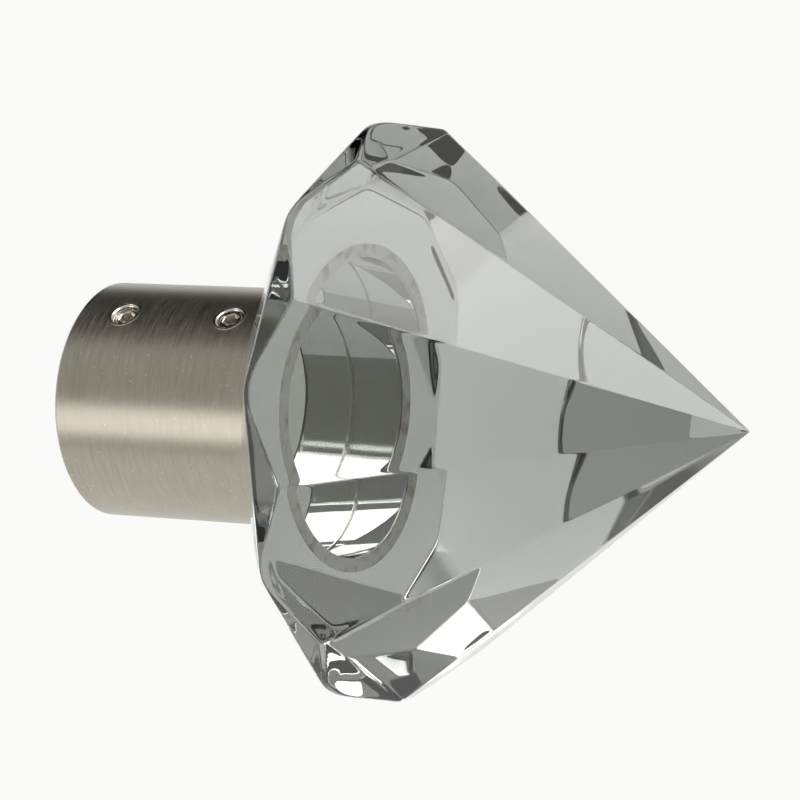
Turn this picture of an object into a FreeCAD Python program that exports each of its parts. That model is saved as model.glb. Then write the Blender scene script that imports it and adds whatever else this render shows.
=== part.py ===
import FreeCAD, Part

import math
import os

import Sketcher

# Curtain pole finial: a clear faceted head on a brushed metal collar that slides over the pole's end.
# Frame: the origin is the centre of the collar's mouth, +X runs along the pole's axis to the tip of
# the head, and the two grub screws in the collar look up, along +Z.

doc = FreeCAD.newDocument("finial")

# Driving dimensions, in millimetres and degrees
DIMENSIONS = {
    # pole socket and collar
    "pole_diameter": 25.0,
    "pole_clearance": 0.4,
    "collar_diameter": 32.0,
    "collar_length": 34.0,
    "collar_bevel": 0.5,
    "socket_depth": 26.2,
    # grub screws
    "screw_diameter": 4.0,
    "screw_length": 2.6,
    "screw_bevel": 0.3,
    "thread_clearance": 0.05,
    "outer_screw_place": 7.6,
    "inner_screw_place": 24.0,
    "outer_screw_clearance": 0.05,
    "inner_screw_clearance": 0.35,
    "key_width": 2.0,
    "key_depth": 1.5,
    # faceted head, from its flat table outwards and on to the tip
    "table_radius": 24.2,
    "crown_height": 9.5,
    "crown_radius": 39.4,
    "girdle_radius": 38.7,
    "girdle_height": 4.3,
    "pavilion_radius": 38.0,
    "pavilion_height": 46.6,
    "facet_turn": 11.0,
    # tenon of the head, glued into the collar
    "tenon_radius": 13.8,
    "tenon_length": 7.6,
    "tenon_root_bevel": 0.3,
    "glue_gap": 0.1,
}
sheet = doc.addObject("Spreadsheet::Sheet", "sizes")
for row, (alias, value) in enumerate(DIMENSIONS.items(), start=1):
    sheet.set(f"A{row}", alias)
    sheet.set(f"B{row}", str(value))
    sheet.setAlias(f"B{row}", alias)
doc.recompute()

# Sizes that follow from the driving ones
BORE_RADIUS = "(sizes.pole_diameter + sizes.pole_clearance) / 2"
COLLAR_RADIUS = "sizes.collar_diameter / 2"
COUNTERBORE_RADIUS = "sizes.tenon_radius + sizes.glue_gap"
SCREW_RADIUS = "sizes.screw_diameter / 2 - sizes.thread_clearance"
FACET_COUNT = 10
KEY_SIDES = 6


def number(expression):
    """The present value of an expression on the sheet."""
    value = sheet.evalExpression(expression)
    return float(getattr(value, "Value", value))


def origin_plane(body, role):
    """One of a body's own origin planes."""
    return next(feature for feature in body.Origin.OriginFeatures if feature.Role == role)


def turned_body(label, corners):
    """A turned piece: the closed profile through the corners (along X, out from X), spun about X.

    A corner's None stands for a place on the axis itself or on the plane of the collar's mouth.
    """
    body = doc.addObject("PartDesign::Body", label)
    body.Label = label
    profile = body.newObject("Sketcher::SketchObject", label + "_profile")
    profile.AttachmentSupport = [(origin_plane(body, "XY_Plane"), "")]
    profile.MapMode = "FlatFace"
    points = [
        FreeCAD.Vector(number(along) if along else 0, number(out) if out else 0, 0)
        for along, out in corners
    ]
    for start, end in zip(points, points[1:] + points[:1]):
        profile.addGeometry(Part.LineSegment(start, end), False)
    origin, start_point, end_point = -1, 1, 2
    along_axis, mouth_axis = -1, -2
    for line in range(len(corners)):
        after = (line + 1) % len(corners)
        profile.addConstraint(Sketcher.Constraint("Coincident", line, end_point, after, start_point))
    for line, (along, out) in enumerate(corners):
        place = points[line]
        for kind, axis, expression, value in (
            ("DistanceX", mouth_axis, along, place.x),
            ("DistanceY", along_axis, out, place.y),
        ):
            if expression is None:
                profile.addConstraint(Sketcher.Constraint("PointOnObject", line, start_point, axis))
                continue
            rule = Sketcher.Constraint(kind, origin, start_point, line, start_point, value)
            profile.setExpression(f"Constraints[{profile.addConstraint(rule)}]", expression)
    turned = body.newObject("PartDesign::Revolution", label + "_turned")
    turned.Profile = profile
    turned.ReferenceAxis = (profile, ["H_Axis"])
    turned.Angle = 360.0
    body.Tip = turned
    doc.recompute()
    return body


# Collar: a length of tube, bored for the pole from its mouth and wider for the head's tenon from its
# other end, with two tapped holes in line along its top
collar = turned_body(
    "collar",
    [
        (None, BORE_RADIUS),
        ("sizes.socket_depth", BORE_RADIUS),
        ("sizes.socket_depth", COUNTERBORE_RADIUS),
        ("sizes.collar_length - sizes.tenon_root_bevel", COUNTERBORE_RADIUS),
        ("sizes.collar_length", f"{COUNTERBORE_RADIUS} + sizes.tenon_root_bevel"),
        ("sizes.collar_length", f"{COLLAR_RADIUS} - sizes.collar_bevel"),
        ("sizes.collar_length - sizes.collar_bevel", COLLAR_RADIUS),
        ("sizes.collar_bevel", COLLAR_RADIUS),
        (None, f"{COLLAR_RADIUS} - sizes.collar_bevel"),
    ],
)
hole_plan = collar.newObject("Sketcher::SketchObject", "collar_hole_plan")
hole_plan.AttachmentSupport = [(origin_plane(collar, "XY_Plane"), "")]
hole_plan.MapMode = "FlatFace"
for place in ("sizes.outer_screw_place", "sizes.inner_screw_place"):
    centre = FreeCAD.Vector(number(place), 0, 0)
    radius = number("sizes.screw_diameter / 2")
    circle = hole_plan.addGeometry(Part.Circle(centre, FreeCAD.Vector(0, 0, 1), radius), False)
    hole_plan.addConstraint(Sketcher.Constraint("PointOnObject", circle, 3, -1))
    along = hole_plan.addConstraint(Sketcher.Constraint("DistanceX", -1, 1, circle, 3, centre.x))
    hole_plan.setExpression(f"Constraints[{along}]", place)
    width = hole_plan.addConstraint(Sketcher.Constraint("Radius", circle, radius))
    hole_plan.setExpression(f"Constraints[{width}]", "sizes.screw_diameter / 2")
holes = collar.newObject("PartDesign::Pocket", "collar_screw_holes")
holes.Profile = hole_plan
holes.Type = "Length"
holes.Reversed = True
holes.setExpression("Length", COLLAR_RADIUS)
collar.Tip = holes
doc.recompute()


def facet_ring(along, radius, half_turn):
    """The corners of one ring of the head, evenly spaced about X, half a facet on where it is staggered."""
    step = 2 * math.pi / FACET_COUNT
    start = math.radians(number("sizes.facet_turn")) + half_turn * step / 2
    return [
        FreeCAD.Vector(along, radius * math.sin(start + i * step), radius * math.cos(start + i * step))
        for i in range(FACET_COUNT)
    ]


def flat_facet(*corners):
    """One flat facet between three or more corners."""
    return Part.Face(Part.makePolygon(list(corners) + [corners[0]]))


def faceted_blank():
    """The cut stone before its girdle is rounded: table, crown, lower girdle and pavilion facets."""
    table_place = number("sizes.collar_length")
    crown_place = table_place + number("sizes.crown_height")
    pavilion_place = crown_place + number("sizes.girdle_height")
    tip = FreeCAD.Vector(pavilion_place + number("sizes.pavilion_height"), 0, 0)
    table = facet_ring(table_place, number("sizes.table_radius"), 0)
    crown = facet_ring(crown_place, number("sizes.crown_radius"), 1)
    pavilion = facet_ring(pavilion_place, number("sizes.pavilion_radius"), 0)
    faces = [flat_facet(*table)]
    for i in range(FACET_COUNT):
        after = (i + 1) % FACET_COUNT
        faces.append(flat_facet(table[i], table[after], crown[i]))
        faces.append(flat_facet(crown[i], crown[after], table[after]))
        faces.append(flat_facet(pavilion[i], pavilion[after], crown[i]))
        faces.append(flat_facet(crown[i], crown[after], pavilion[after]))
        faces.append(flat_facet(pavilion[i], pavilion[after], tip))
    stone = Part.Solid(Part.Shell(faces))
    if stone.Volume < 0:
        stone.reverse()
    return stone


# Head: the cut stone, its girdle turned round, with a short tenon on the table that goes into the collar
stone = doc.addObject("Part::Feature", "head_stone")
stone.Shape = faceted_blank()
along_x = FreeCAD.Rotation(FreeCAD.Vector(0, 1, 0), 90)
girdle = doc.addObject("Part::Cylinder", "head_girdle")
girdle.setExpression("Radius", "sizes.girdle_radius")
girdle.setExpression("Height", "sizes.crown_height + sizes.girdle_height + sizes.pavilion_height")
girdle.Placement = FreeCAD.Placement(FreeCAD.Vector(), along_x)
girdle.setExpression("Placement.Base.x", "sizes.collar_length")
rounded = doc.addObject("Part::Common", "head_rounded")
rounded.Base = stone
rounded.Tool = girdle
tenon = turned_body(
    "head_tenon",
    [
        ("sizes.collar_length - sizes.tenon_length", None),
        ("sizes.collar_length - sizes.tenon_length", "sizes.tenon_radius"),
        ("sizes.collar_length - sizes.tenon_root_bevel", "sizes.tenon_radius"),
        ("sizes.collar_length", "sizes.tenon_radius + sizes.tenon_root_bevel"),
        ("sizes.collar_length + sizes.crown_height / 2", "sizes.tenon_radius + sizes.tenon_root_bevel"),
        ("sizes.collar_length + sizes.crown_height / 2", None),
    ],
)
head = doc.addObject("Part::Fuse", "crystal_head")
head.Label = "crystal_head"
head.Base = rounded
head.Tool = tenon
head.Refine = True
doc.recompute()


def grub_screw(name, place, seat):
    """A headless screw that stands along Z over its seat, with a bevelled point and a six-sided key hole."""
    shank = doc.addObject("Part::Cylinder", name + "_shank")
    shank.setExpression("Radius", SCREW_RADIUS)
    shank.setExpression("Height", "sizes.screw_length - sizes.screw_bevel")
    shank.setExpression("Placement.Base.x", place)
    shank.setExpression("Placement.Base.z", f"{seat} + sizes.screw_bevel")
    point = doc.addObject("Part::Cone", name + "_point")
    point.setExpression("Radius1", f"{SCREW_RADIUS} - sizes.screw_bevel")
    point.setExpression("Radius2", SCREW_RADIUS)
    point.setExpression("Height", "sizes.screw_bevel")
    point.setExpression("Placement.Base.x", place)
    point.setExpression("Placement.Base.z", seat)
    blank = doc.addObject("Part::Fuse", name + "_blank")
    blank.Base = shank
    blank.Tool = point
    key = doc.addObject("Part::Prism", name + "_key")
    key.Polygon = KEY_SIDES
    key.setExpression("Circumradius", f"sizes.key_width / 2 / cos(180 deg / {KEY_SIDES})")
    key.setExpression("Height", "sizes.key_depth")
    key.setExpression("Placement.Base.x", place)
    key.setExpression("Placement.Base.z", f"{seat} + sizes.screw_length - sizes.key_depth")
    screw = doc.addObject("Part::Cut", name)
    screw.Base = blank
    screw.Tool = key
    return screw


# Grub screws: both grip the pole, and stand just clear of it here
outer_screw = grub_screw(
    "outer_screw", "sizes.outer_screw_place", f"{BORE_RADIUS} + sizes.outer_screw_clearance"
)
inner_screw = grub_screw(
    "inner_screw", "sizes.inner_screw_place", f"{BORE_RADIUS} + sizes.inner_screw_clearance"
)
grub_screws = doc.addObject("Part::Compound", "grub_screws")
grub_screws.Label = "grub_screws"
grub_screws.Links = [outer_screw, inner_screw]
doc.recompute()

# Every feature is sound and every piece is a whole solid before anything is written
for item in doc.Objects:
    if {"Invalid", "Error"} & set(item.State):
        raise RuntimeError(f"{item.Label} failed: {item.State}")
SUB_PARTS = {collar: 1, head: 1, grub_screws: 2}
for piece, solids in SUB_PARTS.items():
    if piece.Shape.isNull() or not piece.Shape.isValid() or len(piece.Shape.Solids) != solids:
        raise RuntimeError(f"{piece.Label} is not {solids} sound solid(s)")

os.makedirs("parts", exist_ok=True)
for piece in SUB_PARTS:
    piece.Shape.exportStep(f"parts/{piece.Label}.step")
    print(piece.Label, round(piece.Shape.Volume, 2), piece.Shape.BoundBox)
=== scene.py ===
import math

import bmesh
import bpy
import numpy as np
from mathutils import Matrix, Vector


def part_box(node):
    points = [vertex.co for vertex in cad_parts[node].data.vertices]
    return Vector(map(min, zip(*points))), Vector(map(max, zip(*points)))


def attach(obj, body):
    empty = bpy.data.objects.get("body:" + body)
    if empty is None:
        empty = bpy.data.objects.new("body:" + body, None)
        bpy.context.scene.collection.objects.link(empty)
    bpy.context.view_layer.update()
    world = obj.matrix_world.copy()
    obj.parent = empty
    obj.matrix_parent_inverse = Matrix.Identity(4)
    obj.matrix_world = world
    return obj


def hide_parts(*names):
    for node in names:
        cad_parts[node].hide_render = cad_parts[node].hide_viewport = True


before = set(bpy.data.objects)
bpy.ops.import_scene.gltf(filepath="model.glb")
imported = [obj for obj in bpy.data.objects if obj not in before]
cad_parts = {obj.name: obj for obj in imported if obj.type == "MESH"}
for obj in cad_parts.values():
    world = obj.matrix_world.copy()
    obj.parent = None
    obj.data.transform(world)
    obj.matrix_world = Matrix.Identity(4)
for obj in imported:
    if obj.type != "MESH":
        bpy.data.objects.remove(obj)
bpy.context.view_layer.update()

# Collar: a short length of tube, plated with satin nickel and then brushed round and round on a lathe.
# The brush doesn't reach into its bore, which keeps the brighter plate. The pole goes in at its open end
# and the head's tenon is glued in at the other.
MM = 0.001
BRUSHED_FROM_MM = 14.6
MOUTH_FACE_MM = 0.6
BRUSH_LINE_MM = (0.11, 3.0)
BRUSH_BAND_MM = (0.7, 18.0)
BRUSH_DEPTH_MM = 0.02
HANDLING_MARK_MM = 0.45
collar_end, collar_radius = np.array(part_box("collar")[1])[:2] / MM


def linear(code):
    """An sRGB hex colour as linear red, green and blue, with an alpha of 1."""
    s = np.array([int(code[i:i + 2], 16) for i in (1, 3, 5)]) / 255
    return (*np.where(s <= 0.04045, s / 12.92, ((s + 0.055) / 1.055) ** 2.4), 1.0)


def node(tree, kind, inputs, **settings):
    """Adds a node with its settings; inputs gives a value or a link for each socket, by name or number."""
    made = tree.nodes.new(kind)
    for name, value in settings.items():
        setattr(made, name, value)
    for socket, value in inputs.items():
        if isinstance(value, bpy.types.NodeSocket):
            tree.links.new(value, made.inputs[socket])
        else:
            made.inputs[socket].default_value = value
    return made


def new_material(name):
    """A material with an empty tree; it gives the material, the tree, its output and Object coordinates."""
    material = bpy.data.materials.new(name)
    material.use_nodes = True
    tree = material.node_tree
    tree.nodes.clear()
    out = tree.nodes.new("ShaderNodeOutputMaterial")
    return material, tree, out, node(tree, "ShaderNodeTexCoord", {}).outputs["Object"]


def dress(piece, material):
    """The piece shows this material alone."""
    piece.data.materials.clear()
    piece.data.materials.append(material)


def brush_lines(tree, place, size_mm):
    """Noise drawn out round the X axis: as fine as the first size along the tube, the second around it."""
    along, around = (1 / (size * MM) for size in size_mm)
    drawn = node(tree, "ShaderNodeMapping", {"Vector": place, "Scale": (along, around, around)})
    noise = node(tree, "ShaderNodeTexNoise", {"Vector": drawn.outputs["Vector"], "Scale": 1.0, "Detail": 3.0})
    return noise.outputs["Fac"]


# Satin nickel: a warm grey metal. The brush marks run round the tube, so a lamp spreads along it into a
# straight band, broken into fine lines. The lines are drawn wider than real brush marks, so that they show.
brushed, tree, out, place = new_material("satin nickel, brushed")
fine = brush_lines(tree, place, BRUSH_LINE_MM)
band = brush_lines(tree, place, BRUSH_BAND_MM)
marks = node(tree, "ShaderNodeTexNoise", {
    "Vector": place, "Scale": 1 / (HANDLING_MARK_MM * MM), "Detail": 2.0})
mark = node(tree, "ShaderNodeMapRange", {"Value": marks.outputs["Fac"], "From Min": 0.68, "From Max": 0.76})
across = node(tree, "ShaderNodeVectorMath", {0: place, 1: (0, 1, 1)}, operation="MULTIPLY")
from_axis = node(tree, "ShaderNodeVectorMath", {0: across.outputs["Vector"]}, operation="LENGTH")
brushed_side = node(tree, "ShaderNodeMath", {0: from_axis.outputs["Value"], 1: BRUSHED_FROM_MM * MM},
                    operation="GREATER_THAN")
along_tube = node(tree, "ShaderNodeSeparateXYZ", {"Vector": place}).outputs["X"]
mouth = node(tree, "ShaderNodeMath", {0: along_tube, 1: MOUTH_FACE_MM * MM}, operation="LESS_THAN")
outside = node(tree, "ShaderNodeMath", {0: brushed_side.outputs["Value"], 1: mouth.outputs["Value"]},
               operation="MAXIMUM").outputs["Value"]
lines = node(tree, "ShaderNodeMath", {0: band, 1: 0.35, 2: fine}, operation="MULTIPLY_ADD")
bright = node(tree, "ShaderNodeMapRange", {"Value": lines.outputs["Value"], "From Min": 0.4, "From Max": 0.95})
brushed_rough = node(tree, "ShaderNodeMapRange", {
    "Value": bright.outputs["Result"], "To Min": 0.27, "To Max": 0.42})
plate = node(tree, "ShaderNodeMix", {0: bright.outputs["Result"], 6: linear("#a0998b"), 7: linear("#b9b3a6")},
             data_type="RGBA")
marked = node(tree, "ShaderNodeMix", {0: mark.outputs["Result"], 6: plate.outputs[2], 7: linear("#d6d1c6")},
              data_type="RGBA")
colour = node(tree, "ShaderNodeMix", {0: outside, 6: linear("#ecebe7"), 7: marked.outputs[2]},
              data_type="RGBA")
rough = node(tree, "ShaderNodeMix", {0: outside, 2: 0.24, 3: brushed_rough.outputs["Result"]},
             data_type="FLOAT")
depth = node(tree, "ShaderNodeMath", {0: fine, 1: outside}, operation="MULTIPLY")
bump = node(tree, "ShaderNodeBump", {
    "Height": depth.outputs["Value"], "Strength": 0.25, "Distance": BRUSH_DEPTH_MM * MM})
round_tube = node(tree, "ShaderNodeTangent", {}, direction_type="RADIAL", axis="X")
shader = node(tree, "ShaderNodeBsdfPrincipled", {
    "Base Color": colour.outputs[2], "Metallic": 1.0, "Roughness": rough.outputs[0], "Anisotropic": 0.6,
    "Anisotropic Rotation": 0.25, "Normal": bump.outputs["Normal"], "Tangent": round_tube.outputs["Tangent"]})
tree.links.new(shader.outputs["BSDF"], out.inputs["Surface"])
dress(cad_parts["collar"], brushed)

# Grub screws: two headless M4 screws of plated steel, each with a six-sided key hole in its end. They are
# screwed into the collar in line and grip the pole; the outer one sits lower in its hole.
SCREW_RADIUS_MM = 1.95
SCREW_LENGTH_MM = 2.6
SCREW_POINT_MM = 0.3
SCREW_RIM_MM = 0.16
SHANK_FOOT_MM, SHANK_HEAD_MM = 0.05, 0.07
POINT_SHARE, RIM_SHARE = 1 / 9, 1 / 20
CUP_RADII_MM, CUP_HEIGHTS_MM = ((0.3,), (1.3,)), ((0.35,), (0.02,))
END_RADIUS_MM = 1.5
KEY_WIDTH_MM = 2.0
KEY_DEPTH_MM = 1.5
KEY_BEVEL_MM = 0.1
KEY_CORNER_MM = 0.05
DRILL_POINT_MM = 0.25
THREAD_PITCH_MM = 0.7
THREAD_DEPTH_MM = 0.28
SHANK_STEPS, ROUND_STEPS = 45, 120
WELD = 1e-8
screws_low, screws_high = np.array(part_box("grub_screws")) / MM
outer_seat = (screws_low[0] + SCREW_RADIUS_MM, screws_low[2])
inner_seat = (screws_high[0] - SCREW_RADIUS_MM, screws_high[2] - SCREW_LENGTH_MM)
seats = (outer_seat, inner_seat)
round_screw = np.linspace(0, 2 * math.pi, ROUND_STEPS, endpoint=False)


def ridge(height, turn):
    """A thread's height between root, 0, and crest, 1: a triangle wave that climbs one pitch a turn."""
    turns = height / THREAD_PITCH_MM - turn / (2 * math.pi)
    return 1 - np.abs(2 * (turns % 1) - 1)


def upright(along, radius, height):
    """Loops round an upright axis at a place along X: cosine and sine times the radius, at a height."""
    loops = np.broadcast_arrays(along + radius * np.cos(round_screw), radius * np.sin(round_screw), height)
    return np.stack(loops, -1)


def loop_mesh(name, loops, capped):
    """Squares between each loop of points and the next; a capped surface is fanned in at both ends."""
    count, around = loops.shape[:2]
    points = loops.reshape(-1, 3)
    place = np.arange(count * around).reshape(count, around)
    after = np.roll(place, -1, axis=1)
    faces = np.stack([place[:-1], after[:-1], after[1:], place[1:]], -1).reshape(-1, 4).tolist()
    if capped:
        points = np.vstack([points, loops[0].mean(0), loops[-1].mean(0)])
        first, last = np.full(around, count * around), np.full(around, count * around + 1)
        faces += np.stack([first, after[0], place[0]], -1).tolist()
        faces += np.stack([last, place[-1], after[-1]], -1).tolist()
    mesh = bpy.data.meshes.new(name)
    mesh.from_pydata((points * MM).tolist(), [], faces)
    return mesh


def piece_of(name, meshes, crease=math.radians(35)):
    """One object of several meshes: welded, turned outwards, and smooth but for edges over the crease angle."""
    work = bmesh.new()
    for mesh in meshes:
        work.from_mesh(mesh)
    bmesh.ops.remove_doubles(work, verts=work.verts, dist=WELD)
    bmesh.ops.recalc_face_normals(work, faces=work.faces)
    joined = bpy.data.meshes.new(name)
    work.to_mesh(joined)
    work.free()
    joined.shade_smooth()
    joined.set_sharp_from_angle(angle=crease)
    piece = bpy.data.objects.new(name, joined)
    bpy.context.scene.collection.objects.link(piece)
    return piece


def screw_loops(along, seat):
    """Loops up the shank from a cupped point, in over the end and down the key hole.

    The shank's radius is the crest's, less the thread's depth where the ridge is low, and less the point's
    and the rim's bevels at its ends. The key hole's is a hexagon's: half its width over the cosine of the
    angle to the middle of the nearest flat.
    """
    top = seat + SCREW_LENGTH_MM
    rise = np.linspace(0, 1, SHANK_STEPS)[:, None]
    height = seat + SHANK_FOOT_MM + rise * (SCREW_LENGTH_MM - SHANK_FOOT_MM - SHANK_HEAD_MM)
    point = SCREW_POINT_MM * np.clip(1 - rise / POINT_SHARE, 0, 1)
    rim = SCREW_RIM_MM * np.clip((rise - 1 + RIM_SHARE) / RIM_SHARE, 0, 1)
    shank = SCREW_RADIUS_MM - point - rim - THREAD_DEPTH_MM * (1 - ridge(height, round_screw))
    cup = upright(along, np.array(CUP_RADII_MM), seat + np.array(CUP_HEIGHTS_MM))
    hexagon = KEY_WIDTH_MM / 2 / np.cos((round_screw + math.pi / 6) % (math.pi / 3) - math.pi / 6)
    end = upright(along, np.stack([np.full_like(hexagon, END_RADIUS_MM), hexagon + KEY_BEVEL_MM]), top)
    size = np.array([[1.0], [1.0], [0.9], [0.1]])
    sink = np.array([[KEY_BEVEL_MM], [KEY_DEPTH_MM - KEY_CORNER_MM], [KEY_DEPTH_MM],
                     [KEY_DEPTH_MM + DRILL_POINT_MM]])
    key_hole = upright(along, hexagon * size, top - sink)
    return np.concatenate([cup, upright(along, shank, height), end, key_hole])


screws = piece_of("socket_grub_screws", [loop_mesh("screw", screw_loops(*seat), True) for seat in seats])
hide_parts("grub_screws")
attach(screws, "root")

# Plated steel: brighter and a little warmer than the collar, so the screws and the cut rims of their holes
# stand out, with the uneven gloss of small screws plated loose in a barrel.
BARREL_MARK_MM = 0.8
steel, tree, out, place = new_material("plated steel, barrel bright")
mottle = node(tree, "ShaderNodeTexNoise", {"Vector": place, "Scale": 1 / (BARREL_MARK_MM * MM), "Detail": 4.0})
rough = node(tree, "ShaderNodeMapRange", {"Value": mottle.outputs["Fac"], "To Min": 0.14, "To Max": 0.34})
tone = node(tree, "ShaderNodeMix", {0: mottle.outputs["Fac"], 6: linear("#cfc9bd"), 7: linear("#e4e1d9")},
            data_type="RGBA")
shader = node(tree, "ShaderNodeBsdfPrincipled", {
    "Base Color": tone.outputs[2], "Metallic": 1.0, "Roughness": rough.outputs["Result"]})
tree.links.new(shader.outputs["BSDF"], out.inputs["Surface"])
dress(screws, steel)

# Tapped holes: the last turn of thread in the collar's wall above each screw, and the narrow bright rim
# that the tap and a countersink leave round the hole. They are cut in the collar itself.
HOLE_RADIUS_MM = 1.995
COUNTERSINK_RADIUS_MM = 2.3
TAPPED_DEPTH_MM = 0.22
TAPPED_BELOW_MM = 0.15
RUN_OUT_MM = 0.15
MOUTH_BELOW_MM = 0.03
RIM_RADII_MM = ((2.0,), (COUNTERSINK_RADIUS_MM,), (COUNTERSINK_RADIUS_MM + 0.05,))
RIM_PROUD_MM = ((0.006,), (0.012,), (-0.02,))
TAPPED_STEPS = 24


def tapped_loops(along, seat):
    """Loops up a hole from the screw's end, out along the collar's top, and back down inside its wall.

    The thread stands in from the hole's radius by its depth times the ridge, and runs out near the top. The
    top's height is the collar's circle: the root of its radius squared less the sideways place squared.
    """
    def on_collar(radius):
        return np.sqrt(collar_radius ** 2 - (radius * np.sin(round_screw)) ** 2)

    low = seat + SCREW_LENGTH_MM - TAPPED_BELOW_MM
    high = on_collar(HOLE_RADIUS_MM) - MOUTH_BELOW_MM
    height = low + np.linspace(0, 1, TAPPED_STEPS)[:, None] * (high - low)
    fade = np.clip((high - height) / RUN_OUT_MM, 0, 1)
    radius = HOLE_RADIUS_MM - TAPPED_DEPTH_MM * fade * ridge(height + THREAD_PITCH_MM / 2, round_screw)
    thread = upright(along, radius, height)
    rim_radius = np.array(RIM_RADII_MM)
    rim = upright(along, rim_radius, on_collar(rim_radius) + np.array(RIM_PROUD_MM))
    in_wall = upright(along, np.array([[COUNTERSINK_RADIUS_MM]]), low)
    return np.concatenate([thread, rim, in_wall, thread[:1]])


threads = piece_of("tapped_holes", [loop_mesh("hole", tapped_loops(*seat), False) for seat in seats])
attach(threads, "root")
dress(threads, steel)

# Head: one piece of clear glass, pressed in a mould with flat facets and fire polished, so that every edge
# is a little soft and the girdle is nearly round. Its short tenon is glued into the collar.
TABLE_RADIUS_MM = 24.2
CROWN_HEIGHT_MM, CROWN_RADIUS_MM = 9.5, 39.4
GIRDLE_HEIGHT_MM, PAVILION_RADIUS_MM = 4.3, 38.0
GIRDLE_RADIUS_MM = 38.7
FACETS = 10
FACET_TURN = math.radians(11)
TENON_RADIUS_MM = 13.8
TENON_ROOT_MM = 0.3
TENON_EDGE_MM = 0.3
TENON_SIDE_MM = 4.0
HEAD_CENTRE_MM = 50.0
EDGE_POWERS = ((0, 15, 60, 90, 140), (1500, 900, 520, 240, 240))
SECTOR_STEPS = 20
EDGE_CROWDING = 0.8
head_low, head_high = np.array(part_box("crystal_head")) / MM
table_ring = (collar_end, TABLE_RADIUS_MM)
crown_ring = (collar_end + CROWN_HEIGHT_MM, CROWN_RADIUS_MM)
pavilion_ring = (crown_ring[0] + GIRDLE_HEIGHT_MM, PAVILION_RADIUS_MM)


def facet_corners(ring_mm, half_turn):
    """The corners of one ring of facets, half a facet on where the ring is staggered."""
    along, radius = ring_mm
    turn = FACET_TURN + (np.arange(FACETS) + half_turn / 2) * 2 * math.pi / FACETS
    return np.stack([np.full(FACETS, along), radius * np.sin(turn), radius * np.cos(turn)], -1)


def facet_planes():
    """A row for each facet: its plane's normal over the plane's distance from the head's centre."""
    table, pavilion = facet_corners(table_ring, 0), facet_corners(pavilion_ring, 0)
    crown = facet_corners(crown_ring, 1)
    tip = np.tile([head_high[0], 0.0, 0.0], (FACETS, 1))
    after = np.roll(np.arange(FACETS), -1)
    corners = np.concatenate([np.stack(three, 1) for three in (
        (table, table[after], crown),
        (crown, crown[after], table[after]),
        (pavilion, pavilion[after], crown),
        (crown, crown[after], pavilion[after]),
        (pavilion, pavilion[after], tip),
        (table[:1], table[3:4], table[6:7]),
    )]) - np.array([HEAD_CENTRE_MM, 0, 0])
    normals = np.cross(corners[:, 1] - corners[:, 0], corners[:, 2] - corners[:, 0])
    return normals / np.sum(normals * corners[:, 0], -1, keepdims=True)


def about_axis(along, radius, turn):
    """Loops round the X axis: a place along it, and the radius times the sine and cosine of the turn."""
    return np.stack(np.broadcast_arrays(along, radius * np.sin(turn), radius * np.cos(turn)), -1)


def stone_loops(turn):
    """Loops of points, and the surface's normals, from the tip over pavilion, girdle and crown to the tenon.

    Looking out from the head's centre, each facet lies at one over its plane's row times the way looked, and
    the round girdle at its radius over the sine of the angle from the axis. The surface is one over the power
    mean of all of these, flat on each facet and rolling over at each edge: the higher the power, the sharper.
    The normal is that mean's gradient.
    """
    table_end = math.degrees(math.atan2(TENON_RADIUS_MM + TENON_ROOT_MM, collar_end - HEAD_CENTRE_MM))
    degrees = np.concatenate([np.geomspace(0.1, 30, 24), np.linspace(32, 84, 34), np.linspace(85, 104, 66),
                              np.linspace(104.5, 127, 66), np.linspace(128, table_end, 12)])[:, None]
    down = np.radians(degrees)
    way = about_axis(np.cos(down), np.sin(down), turn)
    straight_out = about_axis(0.0, 1.0, turn)
    planes = facet_planes()
    girdle = np.broadcast_to(np.sin(down), way.shape[:2])[..., None] / GIRDLE_RADIUS_MM
    gauge = np.maximum(np.concatenate([way @ planes.T, girdle], -1), 1e-9)
    power = np.interp(degrees, *EDGE_POWERS)[..., None]
    most = gauge.max(-1, keepdims=True)
    share = (gauge / most) ** power
    mean = most * share.sum(-1, keepdims=True) ** (1 / power)
    pull = share * most / gauge
    normal = pull[..., :-1] @ planes + pull[..., -1:] * straight_out / GIRDLE_RADIUS_MM
    points = way / mean + np.array([HEAD_CENTRE_MM, 0, 0])
    return points, normal / np.linalg.norm(normal, axis=-1, keepdims=True)


def tenon_loops(turn):
    """Loops, and normals, along the tenon's side, round its quarter-circle edge and in over its flat end."""
    end, radius = head_low[0], TENON_RADIUS_MM
    bend = np.linspace(0, math.pi / 2, 7)
    side_along = [collar_end - TENON_ROOT_MM, end + TENON_SIDE_MM]
    along = np.concatenate([side_along, end + TENON_EDGE_MM * (1 - np.sin(bend)), [end, end]])
    edge_out = radius - TENON_EDGE_MM * (1 - np.cos(bend))
    out = np.concatenate([[radius, radius], edge_out, [radius * 0.9, radius * 0.3]])
    back = np.concatenate([[0, 0], -np.sin(bend), [-1, -1]])
    side = np.concatenate([[1, 1], np.cos(bend), [0, 0]])
    return about_axis(along[:, None], out[:, None], turn), about_axis(back[:, None], side[:, None], turn)


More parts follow.
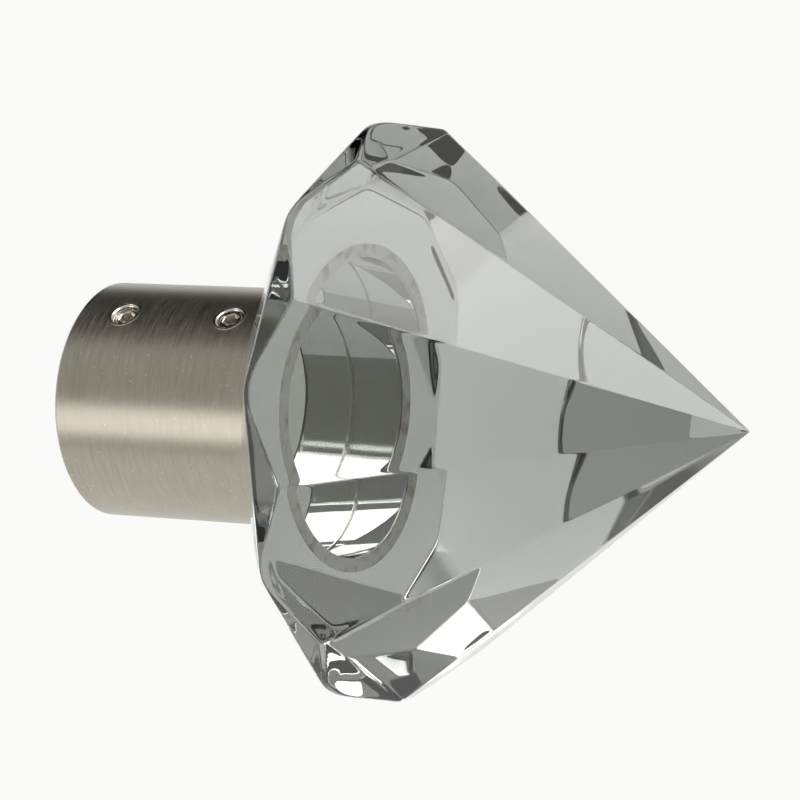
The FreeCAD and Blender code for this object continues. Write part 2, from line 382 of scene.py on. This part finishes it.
step = np.arange(SECTOR_STEPS) / SECTOR_STEPS
crowded = step - EDGE_CROWDING * np.sin(2 * math.pi * step) / (2 * math.pi)
head_turn = FACET_TURN + ((np.arange(2 * FACETS)[:, None] + crowded) * math.pi / FACETS).ravel()
stone, stone_normals = stone_loops(head_turn)
tenon, tenon_normals = tenon_loops(head_turn)
head_mesh = loop_mesh("head", np.concatenate([stone, tenon]), True)
head = piece_of("pressed_glass_head", [head_mesh], crease=math.pi)
head_normals = np.concatenate([stone_normals, tenon_normals]).reshape(-1, 3)
head_normals = np.vstack([head_normals, [[1, 0, 0], [-1, 0, 0]]])
head.data.normals_split_custom_set_from_vertices(head_normals.tolist())
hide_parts("crystal_head")
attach(head, "root")

# Pressed soda glass: clear at its thin edges, and grey with a little green where the eye looks through a lot
# of it. The mould leaves the flats very slightly wavy, so what shows through them bends a little.
MOULD_WAVE_MM = 9.0
MOULD_WAVE_DEPTH_MM = 0.06
glass, tree, out, place = new_material("pressed soda glass, fire polished")
wave = node(tree, "ShaderNodeTexNoise", {"Vector": place, "Scale": 1 / (MOULD_WAVE_MM * MM), "Detail": 1.0})
bump = node(tree, "ShaderNodeBump", {
    "Height": wave.outputs["Fac"], "Strength": 0.35, "Distance": MOULD_WAVE_DEPTH_MM * MM})
shader = node(tree, "ShaderNodeBsdfPrincipled", {
    "Base Color": linear("#ffffff"), "Roughness": 0.0, "IOR": 1.5, "Transmission Weight": 1.0,
    "Normal": bump.outputs["Normal"]})
tree.links.new(shader.outputs["BSDF"], out.inputs["Surface"])
thickness_tint = node(tree, "ShaderNodeVolumeAbsorption", {"Color": linear("#bcbfba"), "Density": 30.0})
tree.links.new(thickness_tint.outputs["Volume"], out.inputs["Volume"])
dress(head, glass)

# Glue: a thin film between the collar's end and the head's flat back. It wets both, so the end of the tube
# shows through the head as a pale ring, brownish where the glue has aged. It is drawn a hair inside the
# glass, by the depths below, so that it shows as glue that wets the glass does.
GLUE_DEPTHS_MM = (0.02, 0.05)
GLUE_RADII_MM = (13.95, 15.95)
GLUE_STEPS = 180
GLUE_STAIN_MM = 2.2
near, far = collar_end + np.array(GLUE_DEPTHS_MM)
inner, outer = GLUE_RADII_MM
film_turn = np.linspace(0, 2 * math.pi, GLUE_STEPS, endpoint=False)
film_along = np.array([near, near, far, far, near])[:, None]
film_out = np.array([inner, outer, outer, inner, inner])[:, None]
glue = piece_of("glue_film", [loop_mesh("glue", about_axis(film_along, film_out, film_turn), False)])
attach(glue, "root")

# Cured glue on a faced tube end: dull and pale, so it gives the oval inside the head a soft rim, with a few
# soft brown stains.
film, tree, out, place = new_material("cured glue on nickel")
cloud = node(tree, "ShaderNodeTexNoise", {"Vector": place, "Scale": 1 / (GLUE_STAIN_MM * MM), "Detail": 5.0})
stain = node(tree, "ShaderNodeMapRange", {"Value": cloud.outputs["Fac"], "From Min": 0.5, "From Max": 0.66})
tone = node(tree, "ShaderNodeMix", {0: stain.outputs["Result"], 6: linear("#dad9d5"), 7: linear("#b0a797")},
            data_type="RGBA")
shader = node(tree, "ShaderNodeBsdfPrincipled", {"Base Color": tone.outputs[2], "Roughness": 0.5})
tree.links.new(shader.outputs["BSDF"], out.inputs["Surface"])
dress(glue, film)

# Camera: a long lens above the finial on the tip's side, so that the collar lies to the left with its screws
# at the top. Its place and its focal length were fitted to the photograph.
CAMERA_PLACE = Vector((0.27232, -0.30135, 0.29285))
CAMERA_RIGHT = Vector((0.87773, 0.37801, -0.29445))
CAMERA_AHEAD = Vector((-0.47712, 0.63282, -0.60983))
FOCAL_PIXELS = 3616.6
PICTURE_PIXELS = 800.0
SENSOR_MM = 36.0
lens = bpy.data.cameras.new("camera")
lens.sensor_width = SENSOR_MM
lens.lens = FOCAL_PIXELS * SENSOR_MM / PICTURE_PIXELS
camera = bpy.data.objects.new("camera", lens)
bpy.context.scene.collection.objects.link(camera)
camera_up = CAMERA_RIGHT.cross(CAMERA_AHEAD)
turned = Matrix((CAMERA_RIGHT, camera_up, -CAMERA_AHEAD)).transposed().to_4x4()
camera.matrix_world = Matrix.Translation(CAMERA_PLACE) @ turned
bpy.context.scene.camera = camera

# Floor: a wide sweep of white paper well below the finial, which hangs there as on its pole. It fills the
# picture behind the finial, shows in the glass and the metal, and takes the finial's soft shadow.
FLOOR_HALF = 6.0
FLOOR_DROP = 0.7
floor_mesh = bpy.data.meshes.new("floor")
floor_corners = np.array([(-1, -1, 0), (1, -1, 0), (1, 1, 0), (-1, 1, 0)]) * FLOOR_HALF - (0, 0, FLOOR_DROP)
floor_mesh.from_pydata(floor_corners.tolist(), [], [(0, 1, 2, 3)])
floor = bpy.data.objects.new("floor", floor_mesh)
bpy.context.scene.collection.objects.link(floor)

# White paper: matt and near white, so the eye sees the finial against a plain bright ground.
paper, tree, out, place = new_material("white studio paper")
shader = node(tree, "ShaderNodeBsdfPrincipled", {
    "Base Color": linear("#f8f8f8"), "Roughness": 0.9, "Specular IOR Level": 0.0})
tree.links.new(shader.outputs["BSDF"], out.inputs["Surface"])
dress(floor, paper)

# Light: an even pale room, and a wide soft lamp high on the tip's side, which together light a colour about
# as it is written. A dark card behind the collar darkens its top, and a soft box on its near side makes the
# bright band along it.
CENTRE = Vector((0.03, 0.0, 0.0))
CARD_WAY = (-0.54, 0.66, 0.522)
CARD_EDGE = (0.81, 0.88)
TOP_LAMP_WAY = Vector((0.68, 0.3, 0.67))
TOP_LAMP_SPREAD = math.radians(50)
TOP_LAMP_POWER = 2.55
SIDE_BOX_OFFSET = Vector((-0.382, -0.648, 0.261))
SIDE_BOX_SIZE = 0.34
SIDE_BOX_LEVEL = 2.35
studio = bpy.data.worlds.new("studio")
bpy.context.scene.world = studio
studio.use_nodes = True
tree = studio.node_tree
way = node(tree, "ShaderNodeTexCoord", {}).outputs["Generated"]
toward = node(tree, "ShaderNodeVectorMath", {0: way, 1: CARD_WAY}, operation="DOT_PRODUCT")
card = node(tree, "ShaderNodeMapRange", {
    "Value": toward.outputs["Value"], "From Min": CARD_EDGE[0], "From Max": CARD_EDGE[1]})
room = node(tree, "ShaderNodeMix", {0: card.outputs["Result"], 6: linear("#c2c2c0"), 7: linear("#1b1a18")},
            data_type="RGBA")
tree.links.new(room.outputs[2], tree.nodes["Background"].inputs["Color"])


def hang(lamp, offset):
    """Hangs a lamp at an offset from the finial's middle, turned to it."""
    hung = bpy.data.objects.new(lamp.name, lamp)
    bpy.context.scene.collection.objects.link(hung)
    turned = (-offset).to_track_quat("-Z", "Y").to_matrix().to_4x4()
    hung.matrix_world = Matrix.Translation(CENTRE + offset) @ turned


top_lamp = bpy.data.lights.new("top lamp", "SUN")
top_lamp.angle = TOP_LAMP_SPREAD
top_lamp.energy = TOP_LAMP_POWER
hang(top_lamp, TOP_LAMP_WAY)
side_box = bpy.data.lights.new("side soft box", "AREA")
side_box.size = SIDE_BOX_SIZE
side_box.energy = SIDE_BOX_LEVEL * math.pi * SIDE_BOX_SIZE ** 2
hang(side_box, SIDE_BOX_OFFSET)

bpy.context.scene.view_settings.view_transform = "Standard"
